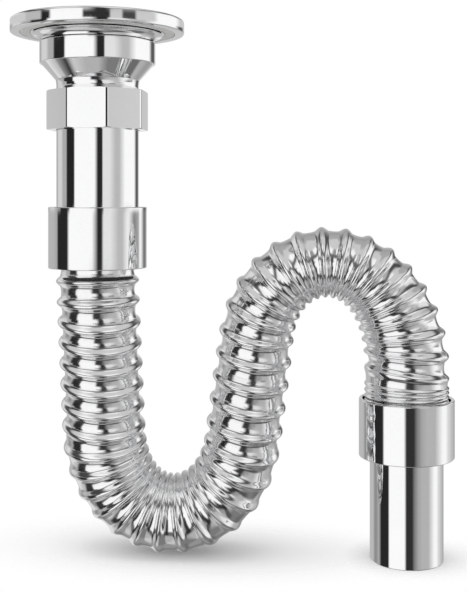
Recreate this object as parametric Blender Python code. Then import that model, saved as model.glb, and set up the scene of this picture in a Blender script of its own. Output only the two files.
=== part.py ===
"""Flexible corrugated sink trap: drain flange, union nut, bent ribbed pipe and push-in outlet.

Metres, +Z up. The origin is on the drain's axis, in the plane where the flange's rim sits on the sink.
+X runs from the drain towards the outlet, and the pipe is bent in the XZ plane.
"""

import math

import bmesh
import bpy
from mathutils import Matrix, Vector

# Fits and facets
CLEARANCE = 0.0003
THREAD_SPACE = 0.0008
TURNED_SIDES = 32
SMALL_SIDES = 12
HOSE_SIDES = 16
ROUND_STEPS = 4
DISH_STEPS = 5

# Drain flange and strainer
RIM_RADIUS = 0.0338
RIM_HEIGHT = 0.0052
RIM_ROUND = 0.0010
DISH_CURVE = 1.6
SEAT_WIDTH = 0.0034
SINK_GASKET_WIDTH = 0.0040
SINK_GASKET_THICKNESS = 0.0010
THROAT_RADIUS = 0.0126
STEM_WALL = 0.0020
STEM_LENGTH = 0.0250
STRAINER_RADIUS = 0.0160
STRAINER_THICKNESS = 0.0012
STRAINER_LEDGE_HEIGHT = 0.0012
STRAINER_HOLES = 6
STRAINER_HOLE_RADIUS = 0.0026
STRAINER_HOLE_CIRCLE = 0.0082
KNOB_RADIUS = 0.0028
KNOB_TAPER = 0.7
KNOB_HEIGHT = 0.0030

# Back washer and waste body
WASHER_HEIGHT = 0.0029
WASHER_SETBACK = 0.0084
WASHER_FOOT_STEP = 0.0003
COLLAR_RADIUS = 0.0225
COLLAR_HEIGHT = 0.0085
COLLAR_STEP = 0.0007
CONE_HEIGHT = 0.0062
NECK_WALL = 0.0009
NECK_HEIGHT = 0.0048
SPIGOT_WALL = 0.0013
SPIGOT_OVER_TUBE = 0.0007
SPIGOT_HEIGHT = 0.0075
BODY_SEAL_THICKNESS = 0.0010
EDGE_CHAMFER = 0.0004

# Union nut and its seals
NUT_HEIGHT = 0.0152
NUT_FLOOR = 0.0028
NUT_WALL = 0.00115
NUT_SIDES = 8
NUT_CORNER_TURN = math.radians(21)
NUT_CHAMFER = 0.0009
UNION_SEAL_THICKNESS = 0.0014
SLIP_RING_HEIGHT = 0.0007

# Inlet tube and sleeve
TUBE_RADIUS = 0.0160
TUBE_WALL = 0.0010
TUBE_LENGTH = 0.0465
LIP_HEIGHT = 0.0011
SLEEVE_OVER_TUBE = 0.0032
SLEEVE_WALL = 0.0020
SLEEVE_HEIGHT = 0.0238
SLEEVE_OVERLAP = 0.0113
SLEEVE_WEB = 0.0013
INLET_SEAL_THICKNESS = 0.0030

# Ribbed pipe
VALLEY_RADIUS = 0.0140
CREST_RADIUS = 0.0162
PIPE_WALL = 0.0007
BEAD_HEIGHT = 0.0012
DOWN_LEG = 0.0715
TRAP_LENGTH = 0.0891
RISER_LENGTH = 0.0408
ARCH_LENGTH = 0.0981
OUTLET_LEG = 0.0281
LEG_LEAN = math.radians(2.6)
LEG_LEAN_LENGTH = 0.0120
RISER_LEAN = math.radians(7.4)
BEND_EASE = 0.3
ARCH_SKEW = 0.18
INLET_CUFF = 0.0083
OUTLET_CUFF = 0.0029
DOWN_RIBS = 15
RISER_RIBS = 17
OUTLET_RIBS = 9
TIGHT_RIBS = 9
TIGHT_PITCH = 0.0020
TIGHT_DEPTH = 0.0007
RIB_FOOT = 0.62
RIB_CREST = 0.22
RIB_CLOSING = 0.35
ARCH_RIB_LEAN = math.radians(8)
ARCH_JOIN_PAST_TOP = 0.0018
TRAP_FLATTENING = 0.075
RISER_FLATTENING = 0.078
ARCH_FLATTENING = 0.156
SIDE_SWELL = 0.4

# Outlet socket and tube
SOCKET_GAP = 0.0006
SOCKET_WALL = 0.0014
SOCKET_DEPTH = 0.0149
SOCKET_FLOOR = 0.0037
OUTLET_SEAL_THICKNESS = 0.0015
OUTLET_TUBE_RADIUS = 0.0140
OUTLET_TUBE_WALL = 0.0010
OUTLET_TUBE_LENGTH = 0.0447
OUTLET_LIP_HEIGHT = 0.0012

# Radii and heights that follow, from the sink downwards
STEM_RADIUS = THROAT_RADIUS + STEM_WALL
STEM_BORE = STEM_RADIUS + THREAD_SPACE
WASHER_TOP_RADIUS = RIM_RADIUS - WASHER_SETBACK
WASHER_FOOT_RADIUS = COLLAR_RADIUS - WASHER_FOOT_STEP
NECK_RADIUS = STEM_BORE + NECK_WALL
SPIGOT_RADIUS = max(STEM_BORE + SPIGOT_WALL, TUBE_RADIUS + SPIGOT_OVER_TUBE)
SLEEVE_RADIUS = TUBE_RADIUS + SLEEVE_OVER_TUBE
WASHER_TOP = -CLEARANCE
WASHER_FOOT = WASHER_TOP - WASHER_HEIGHT
COLLAR_TOP = WASHER_FOOT - CLEARANCE
COLLAR_FOOT = COLLAR_TOP - COLLAR_HEIGHT
CONE_FOOT = COLLAR_FOOT - CONE_HEIGHT
NECK_FOOT = CONE_FOOT - NECK_HEIGHT
SPIGOT_END = NECK_FOOT - SPIGOT_HEIGHT
BODY_SEAL_TOP = -STEM_LENGTH - CLEARANCE
BODY_SHOULDER = BODY_SEAL_TOP - BODY_SEAL_THICKNESS - CLEARANCE

NUT_BORE = SPIGOT_RADIUS + THREAD_SPACE
LIP_RADIUS = NUT_BORE - 2 * CLEARANCE
UNION_SEAL_TOP = SPIGOT_END - CLEARANCE
LIP_TOP = UNION_SEAL_TOP - UNION_SEAL_THICKNESS - CLEARANCE
LIP_FOOT = LIP_TOP - LIP_HEIGHT
SLIP_RING_TOP = LIP_FOOT - CLEARANCE
NUT_SHOULDER = SLIP_RING_TOP - SLIP_RING_HEIGHT - CLEARANCE
NUT_FOOT = NUT_SHOULDER - NUT_FLOOR
NUT_TOP = NUT_FOOT + NUT_HEIGHT

TUBE_END = LIP_TOP - TUBE_LENGTH
SLEEVE_TOP = TUBE_END + SLEEVE_OVERLAP
SLEEVE_FOOT = SLEEVE_TOP - SLEEVE_HEIGHT
WEB_TOP = TUBE_END - CLEARANCE
WEB_FOOT = WEB_TOP - SLEEVE_WEB
SLEEVE_SOCKET = SLEEVE_RADIUS - SLEEVE_WALL
INLET_SEAL_TOP = WEB_FOOT - CLEARANCE
PIPE_TOP = INLET_SEAL_TOP - INLET_SEAL_THICKNESS - CLEARANCE
BEAD_RADIUS = SLEEVE_SOCKET - 2 * CLEARANCE
PIPE_BORE = VALLEY_RADIUS - PIPE_WALL
PIPE_LENGTH = DOWN_LEG + TRAP_LENGTH + RISER_LENGTH + ARCH_LENGTH + OUTLET_LEG

CHROME = ((0.80, 0.81, 0.82), 0.08, 1.0)
STEEL = ((0.74, 0.75, 0.76), 0.14, 1.0)
RUBBER = ((0.03, 0.03, 0.03), 0.75, 0.0)
SILICONE = ((0.78, 0.78, 0.76), 0.55, 0.0)
NYLON = ((0.05, 0.05, 0.05), 0.45, 0.0)

for old_object in list(bpy.data.objects):
    bpy.data.objects.remove(old_object, do_unlink=True)


def add_object(name, bm, finish, origin=(0, 0, 0)):
    """Make a named object from a bmesh built in world space, with its origin at the given point."""
    bmesh.ops.recalc_face_normals(bm, faces=bm.faces)
    bmesh.ops.translate(bm, verts=bm.verts, vec=-Vector(origin))
    mesh = bpy.data.meshes.new(name)
    bm.to_mesh(mesh)
    bm.free()
    mesh.shade_smooth()
    mesh.set_sharp_from_angle(angle=math.radians(30))
    colour, roughness, metallic = finish
    material = bpy.data.materials.new(name)
    material.use_nodes = True
    shader = material.node_tree.nodes["Principled BSDF"]
    shader.inputs["Base Color"].default_value = (*colour, 1)
    shader.inputs["Roughness"].default_value = roughness
    shader.inputs["Metallic"].default_value = metallic
    mesh.materials.append(material)
    item = bpy.data.objects.new(name, mesh)
    item.location = origin
    bpy.context.scene.collection.objects.link(item)
    return item


def turned(profile, axis_x=0.0):
    """Spin a closed outline of (radius, height) points round a vertical axis."""
    bm = bmesh.new()
    verts = [bm.verts.new((axis_x + radius, 0, height)) for radius, height in profile]
    edges = [bm.edges.new((verts[i - 1], verts[i])) for i in range(len(verts))]
    bmesh.ops.spin(bm, geom=verts + edges, cent=(axis_x, 0, 0), axis=(0, 0, 1), angle=math.tau,
                   steps=TURNED_SIDES, use_merge=True)
    return bm


def solid_turned(profile):
    """Spin an open outline that starts and ends on the axis."""
    bm = bmesh.new()
    verts = [bm.verts.new((radius, 0, height)) for radius, height in profile]
    edges = [bm.edges.new((verts[i], verts[i + 1])) for i in range(len(verts) - 1)]
    bmesh.ops.spin(bm, geom=verts + edges, cent=(0, 0, 0), axis=(0, 0, 1), angle=math.tau,
                   steps=TURNED_SIDES, use_merge=True)
    bmesh.ops.remove_doubles(bm, verts=bm.verts, dist=1e-6)
    return bm


def ring(inner, outer, top, foot):
    """Outline of a flat ring."""
    return [(inner, top), (outer, top), (outer, foot), (inner, foot)]


def arc(centre, radius, start, end, steps):
    """Points of a round edge, from one angle in degrees to another."""
    points = []
    for step in range(steps + 1):
        angle = math.radians(start + (end - start) * step / steps)
        points.append((centre[0] + radius * math.cos(angle), centre[1] + radius * math.sin(angle)))
    return points


def cut(item, name, bm, operation="DIFFERENCE"):
    """Boolean an object with a hidden tool shape."""
    tool = add_object(name, bm, RUBBER)
    tool.hide_render = True
    tool.display_type = "WIRE"
    modifier = item.modifiers.new(name, "BOOLEAN")
    modifier.operation = operation
    modifier.solver = "EXACT"
    modifier.object = tool


# Drain flange, its gasket and its strainer

RECESS_OUTER = RIM_RADIUS - SEAT_WIDTH
RECESS_INNER = RECESS_OUTER - SINK_GASKET_WIDTH - 2 * CLEARANCE
RECESS_ROOF = SINK_GASKET_THICKNESS + 1.5 * CLEARANCE
LEDGE_RADIUS = STRAINER_RADIUS + CLEARANCE
LEDGE_RIM = STRAINER_LEDGE_HEIGHT + CLEARANCE + STRAINER_THICKNESS


def drain_flange():
    rim_arc = arc((RIM_RADIUS - RIM_ROUND, RIM_HEIGHT - RIM_ROUND), RIM_ROUND, 0, 90, ROUND_STEPS)
    dish_width = RECESS_OUTER - LEDGE_RADIUS
    dish_drop = RIM_HEIGHT - LEDGE_RIM
    dish = []
    for step in range(DISH_STEPS + 1):
        share = step / DISH_STEPS
        dish.append((RECESS_OUTER - dish_width * share, RIM_HEIGHT - dish_drop * share ** DISH_CURVE))
    profile = [(RECESS_OUTER, 0), (RIM_RADIUS - EDGE_CHAMFER, 0), (RIM_RADIUS, EDGE_CHAMFER)]
    profile += rim_arc + dish
    profile += [(LEDGE_RADIUS, STRAINER_LEDGE_HEIGHT), (THROAT_RADIUS, STRAINER_LEDGE_HEIGHT),
                (THROAT_RADIUS, -STEM_LENGTH), (STEM_RADIUS - EDGE_CHAMFER, -STEM_LENGTH),
                (STEM_RADIUS, -STEM_LENGTH + EDGE_CHAMFER), (STEM_RADIUS, 0), (RECESS_INNER, 0),
                (RECESS_INNER, RECESS_ROOF), (RECESS_OUTER, RECESS_ROOF)]
    add_object("drain_flange", turned(profile), CHROME)
    gasket_foot = 0.5 * CLEARANCE
    gasket = ring(RECESS_INNER + CLEARANCE, RECESS_OUTER - CLEARANCE,
                  gasket_foot + SINK_GASKET_THICKNESS, gasket_foot)
    add_object("sink_gasket", turned(gasket), SILICONE)


def strainer():
    foot = STRAINER_LEDGE_HEIGHT + CLEARANCE
    top = foot + STRAINER_THICKNESS
    bm = bmesh.new()
    bmesh.ops.create_cone(bm, cap_ends=True, segments=TURNED_SIDES, radius1=STRAINER_RADIUS,
                          radius2=STRAINER_RADIUS, depth=STRAINER_THICKNESS,
                          matrix=Matrix.Translation((0, 0, (foot + top) / 2)))
    item = add_object("strainer", bm, CHROME)
    for hole in range(STRAINER_HOLES):
        angle = math.tau * hole / STRAINER_HOLES
        place = Matrix.Translation((STRAINER_HOLE_CIRCLE * math.cos(angle),
                                    STRAINER_HOLE_CIRCLE * math.sin(angle), foot))
        drill = bmesh.new()
        bmesh.ops.create_cone(drill, cap_ends=True, segments=SMALL_SIDES, radius1=STRAINER_HOLE_RADIUS,
                              radius2=STRAINER_HOLE_RADIUS, depth=4 * STRAINER_THICKNESS, matrix=place)
        cut(item, f"strainer_drill_{hole}", drill)
    knob = bmesh.new()
    knob_foot = foot + STRAINER_THICKNESS / 2
    knob_depth = top + KNOB_HEIGHT - knob_foot
    bmesh.ops.create_cone(knob, cap_ends=True, segments=SMALL_SIDES, radius1=KNOB_TAPER * KNOB_RADIUS,
                          radius2=KNOB_RADIUS, depth=knob_depth,
                          matrix=Matrix.Translation((0, 0, knob_foot + knob_depth / 2)))
    cut(item, "strainer_knob", knob, "UNION")


# Back washer and waste body

def back_washer():
    foot_round = [(WASHER_TOP_RADIUS, WASHER_TOP)]
    drop = WASHER_HEIGHT - EDGE_CHAMFER
    width = WASHER_TOP_RADIUS - WASHER_FOOT_RADIUS
    for step in range(ROUND_STEPS + 1):
        angle = math.radians(90 * step / ROUND_STEPS)
        foot_round.append((WASHER_FOOT_RADIUS + width * (1 - math.sin(angle)),
                           WASHER_FOOT + drop * math.cos(angle)))
    profile = [(STEM_BORE, WASHER_FOOT), (STEM_BORE, WASHER_TOP)] + foot_round
    add_object("back_washer", turned(profile), CHROME)


def waste_body():
    profile = [(STEM_BORE, COLLAR_TOP), (COLLAR_RADIUS - EDGE_CHAMFER, COLLAR_TOP),
               (COLLAR_RADIUS, COLLAR_TOP - EDGE_CHAMFER), (COLLAR_RADIUS, COLLAR_FOOT + EDGE_CHAMFER),
               (COLLAR_RADIUS - EDGE_CHAMFER, COLLAR_FOOT), (COLLAR_RADIUS - COLLAR_STEP, COLLAR_FOOT),
               (NECK_RADIUS, CONE_FOOT), (NECK_RADIUS, NECK_FOOT), (SPIGOT_RADIUS, NECK_FOOT),
               (SPIGOT_RADIUS, SPIGOT_END + EDGE_CHAMFER), (SPIGOT_RADIUS - EDGE_CHAMFER, SPIGOT_END),
               (THROAT_RADIUS, SPIGOT_END), (THROAT_RADIUS, BODY_SHOULDER), (STEM_BORE, BODY_SHOULDER)]
    add_object("waste_body", turned(profile), CHROME)
    seal = ring(THROAT_RADIUS + CLEARANCE, STEM_BORE - CLEARANCE, BODY_SEAL_TOP,
                BODY_SEAL_TOP - BODY_SEAL_THICKNESS)
    add_object("body_seal", turned(seal), RUBBER)


# Union nut, slip ring and seal

def union_nut():
    flat_radius = NUT_BORE + NUT_WALL
    corner_radius = flat_radius / math.cos(math.pi / NUT_SIDES)
    place = Matrix.Translation((0, 0, (NUT_TOP + NUT_FOOT) / 2)) @ Matrix.Rotation(NUT_CORNER_TURN, 4, "Z")
    bm = bmesh.new()
    bmesh.ops.create_cone(bm, cap_ends=True, segments=NUT_SIDES, radius1=corner_radius,
                          radius2=corner_radius, depth=NUT_HEIGHT, matrix=place)
    item = add_object("union_nut", bm, CHROME)
    outside = corner_radius + NUT_CHAMFER
    barrel = [(0, NUT_TOP + NUT_CHAMFER), (flat_radius - NUT_CHAMFER, NUT_TOP + NUT_CHAMFER),
              (outside, NUT_TOP - NUT_CHAMFER), (outside, NUT_FOOT + NUT_CHAMFER),
              (flat_radius - NUT_CHAMFER, NUT_FOOT - NUT_CHAMFER), (0, NUT_FOOT - NUT_CHAMFER)]
    cut(item, "nut_barrel", solid_turned(barrel), "INTERSECT")
    hole = TUBE_RADIUS + CLEARANCE
    past = NUT_FLOOR
    bore = [(0, NUT_TOP + past), (NUT_BORE, NUT_TOP + past), (NUT_BORE, NUT_SHOULDER), (hole, NUT_SHOULDER),
            (hole, NUT_FOOT - past), (0, NUT_FOOT - past)]
    cut(item, "nut_bore", solid_turned(bore))
    slip_ring = ring(TUBE_RADIUS + CLEARANCE, NUT_BORE - CLEARANCE, SLIP_RING_TOP,
                     SLIP_RING_TOP - SLIP_RING_HEIGHT)
    add_object("slip_ring", turned(slip_ring), NYLON)
    seal = ring(THROAT_RADIUS + CLEARANCE, LIP_RADIUS, UNION_SEAL_TOP, UNION_SEAL_TOP - UNION_SEAL_THICKNESS)
    add_object("union_seal", turned(seal), RUBBER)


# Inlet tube, sleeve, seal and lock ring

def inlet_tube():
    bore = TUBE_RADIUS - TUBE_WALL
    profile = [(bore, LIP_TOP), (LIP_RADIUS, LIP_TOP), (LIP_RADIUS, LIP_FOOT), (TUBE_RADIUS, LIP_FOOT),
               (TUBE_RADIUS, TUBE_END), (bore, TUBE_END)]
    add_object("inlet_tube", turned(profile), CHROME)


def inlet_sleeve():
    tube_bore = TUBE_RADIUS + CLEARANCE
    web_hole = TUBE_RADIUS - TUBE_WALL
    edge = EDGE_CHAMFER
    profile = [(tube_bore, SLEEVE_TOP), (SLEEVE_RADIUS - edge, SLEEVE_TOP),
               (SLEEVE_RADIUS, SLEEVE_TOP - edge), (SLEEVE_RADIUS, SLEEVE_FOOT + edge),
               (SLEEVE_RADIUS - edge, SLEEVE_FOOT), (SLEEVE_SOCKET, SLEEVE_FOOT),
               (SLEEVE_SOCKET, WEB_FOOT), (web_hole, WEB_FOOT), (web_hole, WEB_TOP), (tube_bore, WEB_TOP)]
    add_object("inlet_sleeve", turned(profile), CHROME)
    seal = ring(PIPE_BORE, SLEEVE_SOCKET - CLEARANCE, INLET_SEAL_TOP,
                INLET_SEAL_TOP - INLET_SEAL_THICKNESS)
    add_object("inlet_seal", turned(seal), RUBBER)
    lock_ring = ring(VALLEY_RADIUS + CLEARANCE, SLEEVE_SOCKET - CLEARANCE,
                     PIPE_TOP - BEAD_HEIGHT - CLEARANCE, SLEEVE_FOOT + CLEARANCE)
    add_object("inlet_lock_ring", turned(lock_ring), NYLON)


# Ribbed pipe: centreline, ribs and section

PATH_STEPS = 1600
TRAP_START = DOWN_LEG
RISER_START = TRAP_START + TRAP_LENGTH
ARCH_START = RISER_START + RISER_LENGTH
ARCH_END = ARCH_START + ARCH_LENGTH
TRAP_TURN = math.pi - RISER_LEAN - LEG_LEAN
ARCH_TURN = math.pi - RISER_LEAN


def eased(share, skew=0):
    """Share of a bend's turn that is done at a share of its length, tightest near the middle.

    A skewed bend turns more in its first half than in its second.
    """
    share = min(max(share, 0), 1)
    middling = BEND_EASE * math.sin(math.tau * share) / math.tau
    early = skew * math.sin(math.pi * share) ** 2 / math.pi
    return share - middling + early


def heading(along):
    """Direction of the centreline, as an angle from +X towards +Z."""
    leaned = LEG_LEAN * eased((along - INLET_CUFF) / LEG_LEAN_LENGTH)
    turned_in_trap = TRAP_TURN * eased((along - TRAP_START) / TRAP_LENGTH)
    turned_in_arch = ARCH_TURN * eased((along - ARCH_START) / ARCH_LENGTH, ARCH_SKEW)
    return leaned + turned_in_trap - turned_in_arch - math.pi / 2


def centreline():
    """Points of the centreline at even steps, from the pipe's top end."""
    step = PIPE_LENGTH / PATH_STEPS
    point = Vector((0, 0, PIPE_TOP))
    points = [point]
    for index in range(PATH_STEPS):
        angle = heading((index + 0.5) * step)
        point = point + step * Vector((math.cos(angle), 0, math.sin(angle)))
        points.append(point)
    return points


PATH = centreline()


def path_point(along):
    place = min(max(along / PIPE_LENGTH, 0), 1) * PATH_STEPS
    index = min(int(place), PATH_STEPS - 1)
    return PATH[index].lerp(PATH[index + 1], place - index)


def level_length(start, end):
    """Length along the pipe where it runs level, between two lengths on either side of that place."""
    rising = math.sin(heading(end)) > math.sin(heading(start))
    for _ in range(40):
        middle = (start + end) / 2
        if (math.sin(heading(middle)) > 0) == rising:
            end = middle
        else:
            start = middle
    return (start + end) / 2


TRAP_BOTTOM = level_length(TRAP_START, RISER_START)
ARCH_TOP = level_length(ARCH_START, ARCH_END)
ARCH_JOIN = ARCH_TOP + ARCH_JOIN_PAST_TOP
TIGHT_START = PIPE_LENGTH - OUTLET_CUFF - TIGHT_RIBS * TIGHT_PITCH


def smooth(share):
    share = min(max(share, 0), 1)
    return share * share * (3 - 2 * share)


def flattening(along):
    """How far bending has squeezed the pipe in its own plane: none in the two straight end legs."""
    riser_middle = (RISER_START + ARCH_START) / 2
    stations = [(TRAP_START, 0), (TRAP_BOTTOM, TRAP_FLATTENING), (riser_middle, RISER_FLATTENING),
                (ARCH_TOP, ARCH_FLATTENING), (ARCH_END, 0)]
    for (near, near_value), (far, far_value) in zip(stations, stations[1:]):
        if near <= along <= far:
            return near_value + (far_value - near_value) * smooth((along - near) / (far - near))
    return 0


def rib_lean(along):
    """How far the ribs tip past square on the way down from the arch, until the socket holds them square."""
    socket_mouth = PIPE_LENGTH - SOCKET_DEPTH
    tipped = smooth((along - ARCH_TOP) / (ARCH_END - ARCH_TOP))
    righted = smooth((along - ARCH_END) / (socket_mouth - ARCH_END))
    return ARCH_RIB_LEAN * (tipped - righted)


def rib_valleys(start, end, count):
    """Lengths of the valleys on both sides of a run of ribs, closer together where the pipe bends."""
    samples = 400
    step = (end - start) / samples
    sharpest = ARCH_TURN / min(TRAP_LENGTH, ARCH_LENGTH) * (1 + BEND_EASE)
    weights = [0]
    for index in range(samples):
        near = start + index * step
        bend = abs(heading(near + step) - heading(near)) / step
        weights.append(weights[-1] + 1 + RIB_CLOSING * bend / sharpest)
    valleys = []
    index = 0
    for rib in range(count + 1):
        wanted = weights[-1] * rib / count
        while index < samples - 1 and weights[index + 1] < wanted:
            index += 1
        share = (wanted - weights[index]) / (weights[index + 1] - weights[index])
        valleys.append(start + (index + share) * step)
    return valleys


def valley_radius(along):
    """Radius between the ribs: the tight ribs at the outlet end are shallow."""
    return VALLEY_RADIUS if along < TIGHT_START else CREST_RADIUS - TIGHT_DEPTH


def rib_rings(valleys):
    """Stations (length, radius) of ribs with flat crests and wide flat valleys."""
    stations = [(valleys[0], valley_radius(valleys[0]))]
    for near, far in zip(valleys, valleys[1:]):
        pitch = far - near
        foot = pitch * RIB_FOOT
        crest = pitch * RIB_CREST
        middle = (near + far) / 2
        stations += [(middle - foot / 2, valley_radius(near)), (middle - crest / 2, CREST_RADIUS),
                     (middle + crest / 2, CREST_RADIUS), (middle + foot / 2, valley_radius(far))]
    return stations + [(valleys[-1], valley_radius(valleys[-1]))]


def pipe_ring(along, radius):
    """Points round the pipe, oval where it is bent and tipped where its ribs are."""
    angle = heading(along)
    forward = Vector((math.cos(angle), 0, math.sin(angle)))
    outward = Vector((-math.sin(angle), 0, math.cos(angle))) + forward * math.tan(rib_lean(along))
    squeeze = flattening(along)
    points = []
    for side in range(HOSE_SIDES):
        turn = math.tau * side / HOSE_SIDES
        points.append(path_point(along) + outward * (radius * (1 - squeeze) * math.cos(turn))
                      + Vector((0, radius * (1 + SIDE_SWELL * squeeze) * math.sin(turn), 0)))
    return points


def pipe_length(name, stations, valleys, origin):
    """One length of pipe: ribs outside, a plain bore inside, open at both ends."""
    ends = {stations[0][0], stations[-1][0]}
    bore = [(along, PIPE_BORE) for along in sorted(ends | set(valleys), reverse=True)]
    bm = bmesh.new()
    loops = [[bm.verts.new(point) for point in pipe_ring(along, radius)] for along, radius in stations + bore]
    for near, far in zip(loops, loops[1:] + loops[:1]):
        for side in range(HOSE_SIDES):
            bm.faces.new((near[side - 1], near[side], far[side], far[side - 1]))
    add_object(name, bm, STEEL, origin)


TRAP_PIVOT = path_point(TRAP_BOTTOM)
ARCH_PIVOT = path_point(ARCH_JOIN)


def ribbed_pipe():
    half_gap = CLEARANCE / 2
    valleys = rib_valleys(INLET_CUFF, TRAP_BOTTOM - half_gap, DOWN_RIBS)
    bead = [(0, BEAD_RADIUS), (BEAD_HEIGHT, BEAD_RADIUS), (BEAD_HEIGHT, VALLEY_RADIUS)]
    pipe_length("hose_down", bead + rib_rings(valleys), valleys, (0, 0, 0))
    valleys = rib_valleys(TRAP_BOTTOM + half_gap, ARCH_JOIN - half_gap, RISER_RIBS)
    pipe_length("hose_riser", rib_rings(valleys), valleys, TRAP_PIVOT)
    valleys = rib_valleys(ARCH_JOIN + half_gap, TIGHT_START, OUTLET_RIBS)
    valleys += [TIGHT_START + (rib + 1) * TIGHT_PITCH for rib in range(TIGHT_RIBS)]
    cuff = [(valleys[-1], VALLEY_RADIUS), (PIPE_LENGTH, VALLEY_RADIUS)]
    pipe_length("hose_outlet", rib_rings(valleys) + cuff, valleys, ARCH_PIVOT)


# Outlet socket, grip ring, seal and tube, hung from the pipe's end

PIPE_END = path_point(PIPE_LENGTH)
OUTLET_X = PIPE_END.x
SOCKET_BORE = CREST_RADIUS + SOCKET_GAP
SOCKET_RADIUS = SOCKET_BORE + SOCKET_WALL
OUTLET_SEAL_TOP = PIPE_END.z - CLEARANCE
OUTLET_LIP_TOP = OUTLET_SEAL_TOP - OUTLET_SEAL_THICKNESS - CLEARANCE
OUTLET_LIP_FOOT = OUTLET_LIP_TOP - OUTLET_LIP_HEIGHT
SOCKET_SHELF = OUTLET_LIP_FOOT - CLEARANCE
SOCKET_FOOT = SOCKET_SHELF - SOCKET_FLOOR
SOCKET_TOP = PIPE_END.z + SOCKET_DEPTH
OUTLET_TUBE_END = OUTLET_LIP_TOP - OUTLET_TUBE_LENGTH


def outlet():
    edge = EDGE_CHAMFER
    hole = OUTLET_TUBE_RADIUS + CLEARANCE
    lip = SOCKET_BORE - CLEARANCE
    socket = [(SOCKET_BORE, SOCKET_TOP), (SOCKET_RADIUS - edge, SOCKET_TOP),
              (SOCKET_RADIUS, SOCKET_TOP - edge), (SOCKET_RADIUS, SOCKET_FOOT + edge),
              (SOCKET_RADIUS - edge, SOCKET_FOOT), (hole, SOCKET_FOOT), (hole, SOCKET_SHELF),
              (SOCKET_BORE, SOCKET_SHELF)]
    add_object("outlet_sleeve", turned(socket, OUTLET_X), CHROME, ARCH_PIVOT)
    grip = ring(VALLEY_RADIUS + CLEARANCE, lip, PIPE_END.z + OUTLET_CUFF - CLEARANCE, PIPE_END.z)
    add_object("outlet_grip_ring", turned(grip, OUTLET_X), NYLON, ARCH_PIVOT)
    seal = ring(PIPE_BORE, lip, OUTLET_SEAL_TOP, OUTLET_SEAL_TOP - OUTLET_SEAL_THICKNESS)
    add_object("outlet_seal", turned(seal, OUTLET_X), RUBBER, ARCH_PIVOT)
    bore = OUTLET_TUBE_RADIUS - OUTLET_TUBE_WALL
    tube = [(bore, OUTLET_LIP_TOP), (lip, OUTLET_LIP_TOP), (lip, OUTLET_LIP_FOOT),
            (OUTLET_TUBE_RADIUS, OUTLET_LIP_FOOT), (OUTLET_TUBE_RADIUS, OUTLET_TUBE_END),
            (bore, OUTLET_TUBE_END)]
    add_object("outlet_tube", turned(tube, OUTLET_X), CHROME, ARCH_PIVOT)


drain_flange()
strainer()
back_washer()
waste_body()
union_nut()
inlet_tube()
inlet_sleeve()
ribbed_pipe()
outlet()
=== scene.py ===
"""Looks of the flexible sink trap: polished pieces, threads, the bent ribbed pipe, studio and camera.

Metres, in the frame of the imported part: +Z up along the drain's axis, +X from the drain to the outlet.
"""

import bisect
import math

import bmesh
import bpy
from mathutils import Matrix, Vector


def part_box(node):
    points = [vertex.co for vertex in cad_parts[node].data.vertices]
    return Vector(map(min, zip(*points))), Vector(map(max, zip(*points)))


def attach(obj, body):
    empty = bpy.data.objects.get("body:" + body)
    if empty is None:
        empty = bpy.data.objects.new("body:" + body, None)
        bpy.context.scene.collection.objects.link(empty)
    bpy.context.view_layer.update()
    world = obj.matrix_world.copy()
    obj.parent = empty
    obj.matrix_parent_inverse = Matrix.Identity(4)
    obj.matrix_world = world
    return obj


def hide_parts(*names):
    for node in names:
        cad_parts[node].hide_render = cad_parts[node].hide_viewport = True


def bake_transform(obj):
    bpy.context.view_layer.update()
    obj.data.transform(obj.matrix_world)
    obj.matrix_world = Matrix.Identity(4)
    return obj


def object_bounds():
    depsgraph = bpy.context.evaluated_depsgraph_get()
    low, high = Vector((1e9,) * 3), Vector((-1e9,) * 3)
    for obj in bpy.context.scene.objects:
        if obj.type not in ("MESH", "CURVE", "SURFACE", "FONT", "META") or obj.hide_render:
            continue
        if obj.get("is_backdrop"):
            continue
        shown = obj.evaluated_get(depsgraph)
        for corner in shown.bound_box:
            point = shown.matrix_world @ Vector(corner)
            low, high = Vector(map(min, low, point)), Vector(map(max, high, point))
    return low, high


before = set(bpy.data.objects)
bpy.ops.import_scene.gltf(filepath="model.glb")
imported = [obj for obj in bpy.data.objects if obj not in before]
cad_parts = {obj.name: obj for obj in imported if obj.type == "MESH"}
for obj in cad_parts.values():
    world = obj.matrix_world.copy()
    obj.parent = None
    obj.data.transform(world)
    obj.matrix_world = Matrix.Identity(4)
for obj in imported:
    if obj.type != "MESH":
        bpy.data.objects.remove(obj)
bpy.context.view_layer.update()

# Facets of the fine pieces
TURNED_STEPS = 128
CORNER_STEPS = 4
PIPE_SIDES = 72
THREAD_STEPS = 64
SMOOTH_ANGLE = math.radians(35)
MERGE_DISTANCE = 1e-6

# Drain flange, gasket and strainer
RIM_ROUND = 0.0010
SEAT_WIDTH = 0.0034
GASKET_WIDTH = 0.0040
GASKET_ROOM = 0.0003
GASKET_LINE = 0.0001
DISH_CURVE = 1.6
DISH_STEPS = 20
THROAT_RADIUS = 0.0126
STEM_RADIUS = 0.0146
LEDGE_HEIGHT = 0.0012
STRAINER_HOLES = 6
HOLE_RADIUS = 0.0026
HOLE_CIRCLE = 0.0082
KNOB_RADIUS = 0.0028
KNOB_WAIST = 0.0017
KNOB_ROUND = 0.0006
HOLE_STEPS = 40
HOLE_EDGE_STEPS = 3
HOLE_TOLERANCE = 0.00001
STRAINER_THICKNESS = 0.0012
DRILL_DEPTH = 0.0048

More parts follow.
